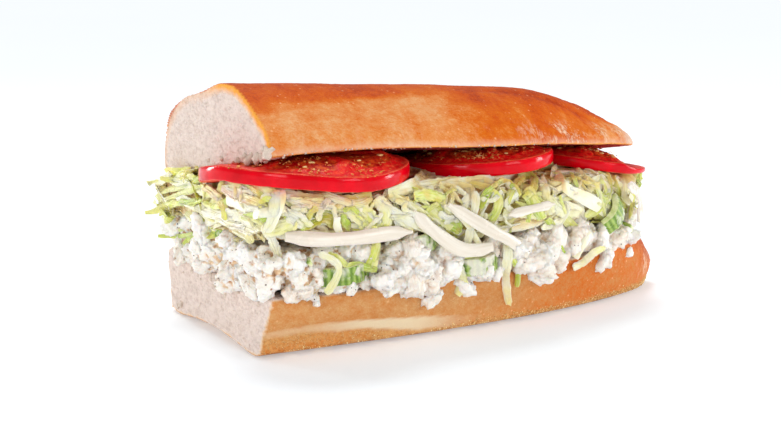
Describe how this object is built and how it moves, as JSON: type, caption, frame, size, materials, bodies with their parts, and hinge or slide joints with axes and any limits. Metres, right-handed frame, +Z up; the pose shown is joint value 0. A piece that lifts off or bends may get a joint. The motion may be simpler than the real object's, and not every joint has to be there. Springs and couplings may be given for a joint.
{
  "type": "submarine sandwich half",
  "caption": "Half of a submarine sandwich: split crusty roll with chicken salad, shredded lettuce, tomato, onion and celery, cut flat at one end.",
  "frame": {"origin": "middle of the flat base of the lower bread half", "axes": "+X along the loaf from the cut end to the rounded end, -Y towards the opened side where the filling shows, +Z up"},
  "size_m": [0.1845, 0.104, 0.0828],
  "materials": {
    "heel_crust": "matte golden baked crust with a pale cream crumb at the cut",
    "crown_crust": "satin orange-brown baked crust with a pale cream crumb at the cut",
    "chicken_salad": "moist off-white dressed chicken with pepper",
    "lettuce": "crisp, slightly glossy, white to pale green",
    "tomato": "wet glossy red",
    "onion": "wet translucent white",
    "celery": "wet pale green with ribs"
  },
  "bodies": {
    "root": {"bread_heel": "heel_crust", "bread_crown": "crown_crust", "chicken_salad": "chicken_salad", "shredded_lettuce": "lettuce", "tomato_slice_1": "tomato", "tomato_slice_2": "tomato", "tomato_slice_3": "tomato", "onion_strip_1": "onion", "onion_strip_2": "onion", "onion_strip_3": "onion", "onion_strip_4": "onion", "onion_strip_5": "onion", "celery_slice_1": "celery", "celery_slice_2": "celery", "celery_slice_3": "celery", "celery_slice_4": "celery", "celery_slice_5": "celery"}
  },
  "joints": []
}
